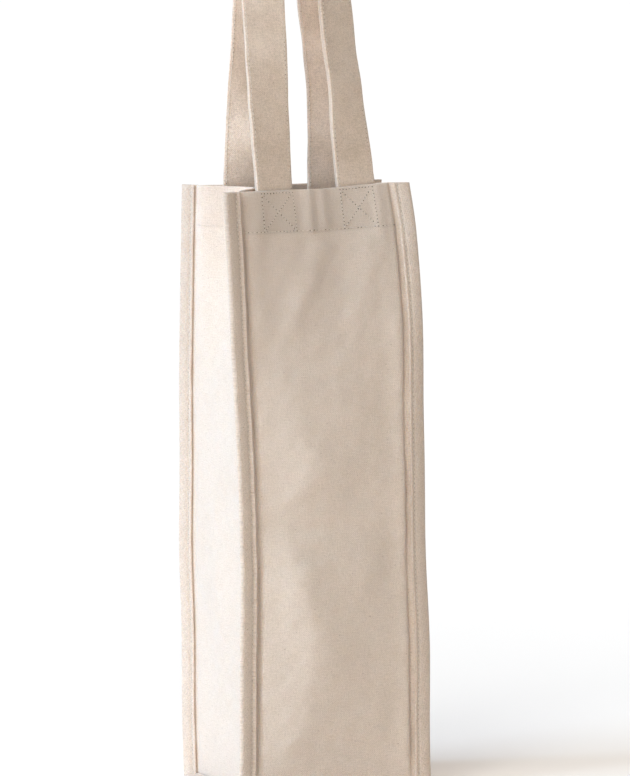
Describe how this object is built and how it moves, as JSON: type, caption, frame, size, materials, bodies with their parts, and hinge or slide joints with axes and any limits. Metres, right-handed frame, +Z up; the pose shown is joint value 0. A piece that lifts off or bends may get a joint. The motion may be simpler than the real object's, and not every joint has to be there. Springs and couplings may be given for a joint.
{
  "type": "bottle carrier",
  "caption": "Tall open canvas tote for one bottle, standing on a flat base, with bound seams outside its corners and a strap handle on its front and back.",
  "frame": {"origin": "middle of the base, on the surface that the bag stands on", "axes": "+Z up to the mouth, +Y from the front panel to the back panel, +X to the right seen from the front"},
  "size_m": [0.1252, 0.1017, 0.5266],
  "materials": {
    "canvas": "natural plain-weave cotton canvas",
    "binding": "natural cotton canvas, folded",
    "strap": "natural cotton canvas, folded and sewn"
  },
  "bodies": {
    "bag": {"front_panel": "canvas", "back_panel": "canvas", "base_panel": "canvas", "left_gusset": "canvas", "right_gusset": "canvas", "front_left_binding": "binding", "front_right_binding": "binding", "back_left_binding": "binding", "back_right_binding": "binding", "base_left_binding": "binding", "base_right_binding": "binding", "front_handle_left_end": "strap", "front_handle_right_end": "strap", "back_handle_left_end": "strap", "back_handle_right_end": "strap"},
    "front_handle": {"front_handle": "strap"},
    "back_handle": {"back_handle": "strap"}
  },
  "joints": [
    {"name": "front_handle_swing", "type": "hinge", "parent": "bag", "child": "front_handle", "pos_m": [-0.00077, -0.01523, 0.3563], "axis": [0.995, 0.0997, 0], "range_deg": [0, 160]},
    {"name": "back_handle_swing", "type": "hinge", "parent": "bag", "child": "back_handle", "pos_m": [-0.00139, 0.03079, 0.3563], "axis": [-0.9775, 0.2108, 0], "range_deg": [0, 160]}
  ]
}
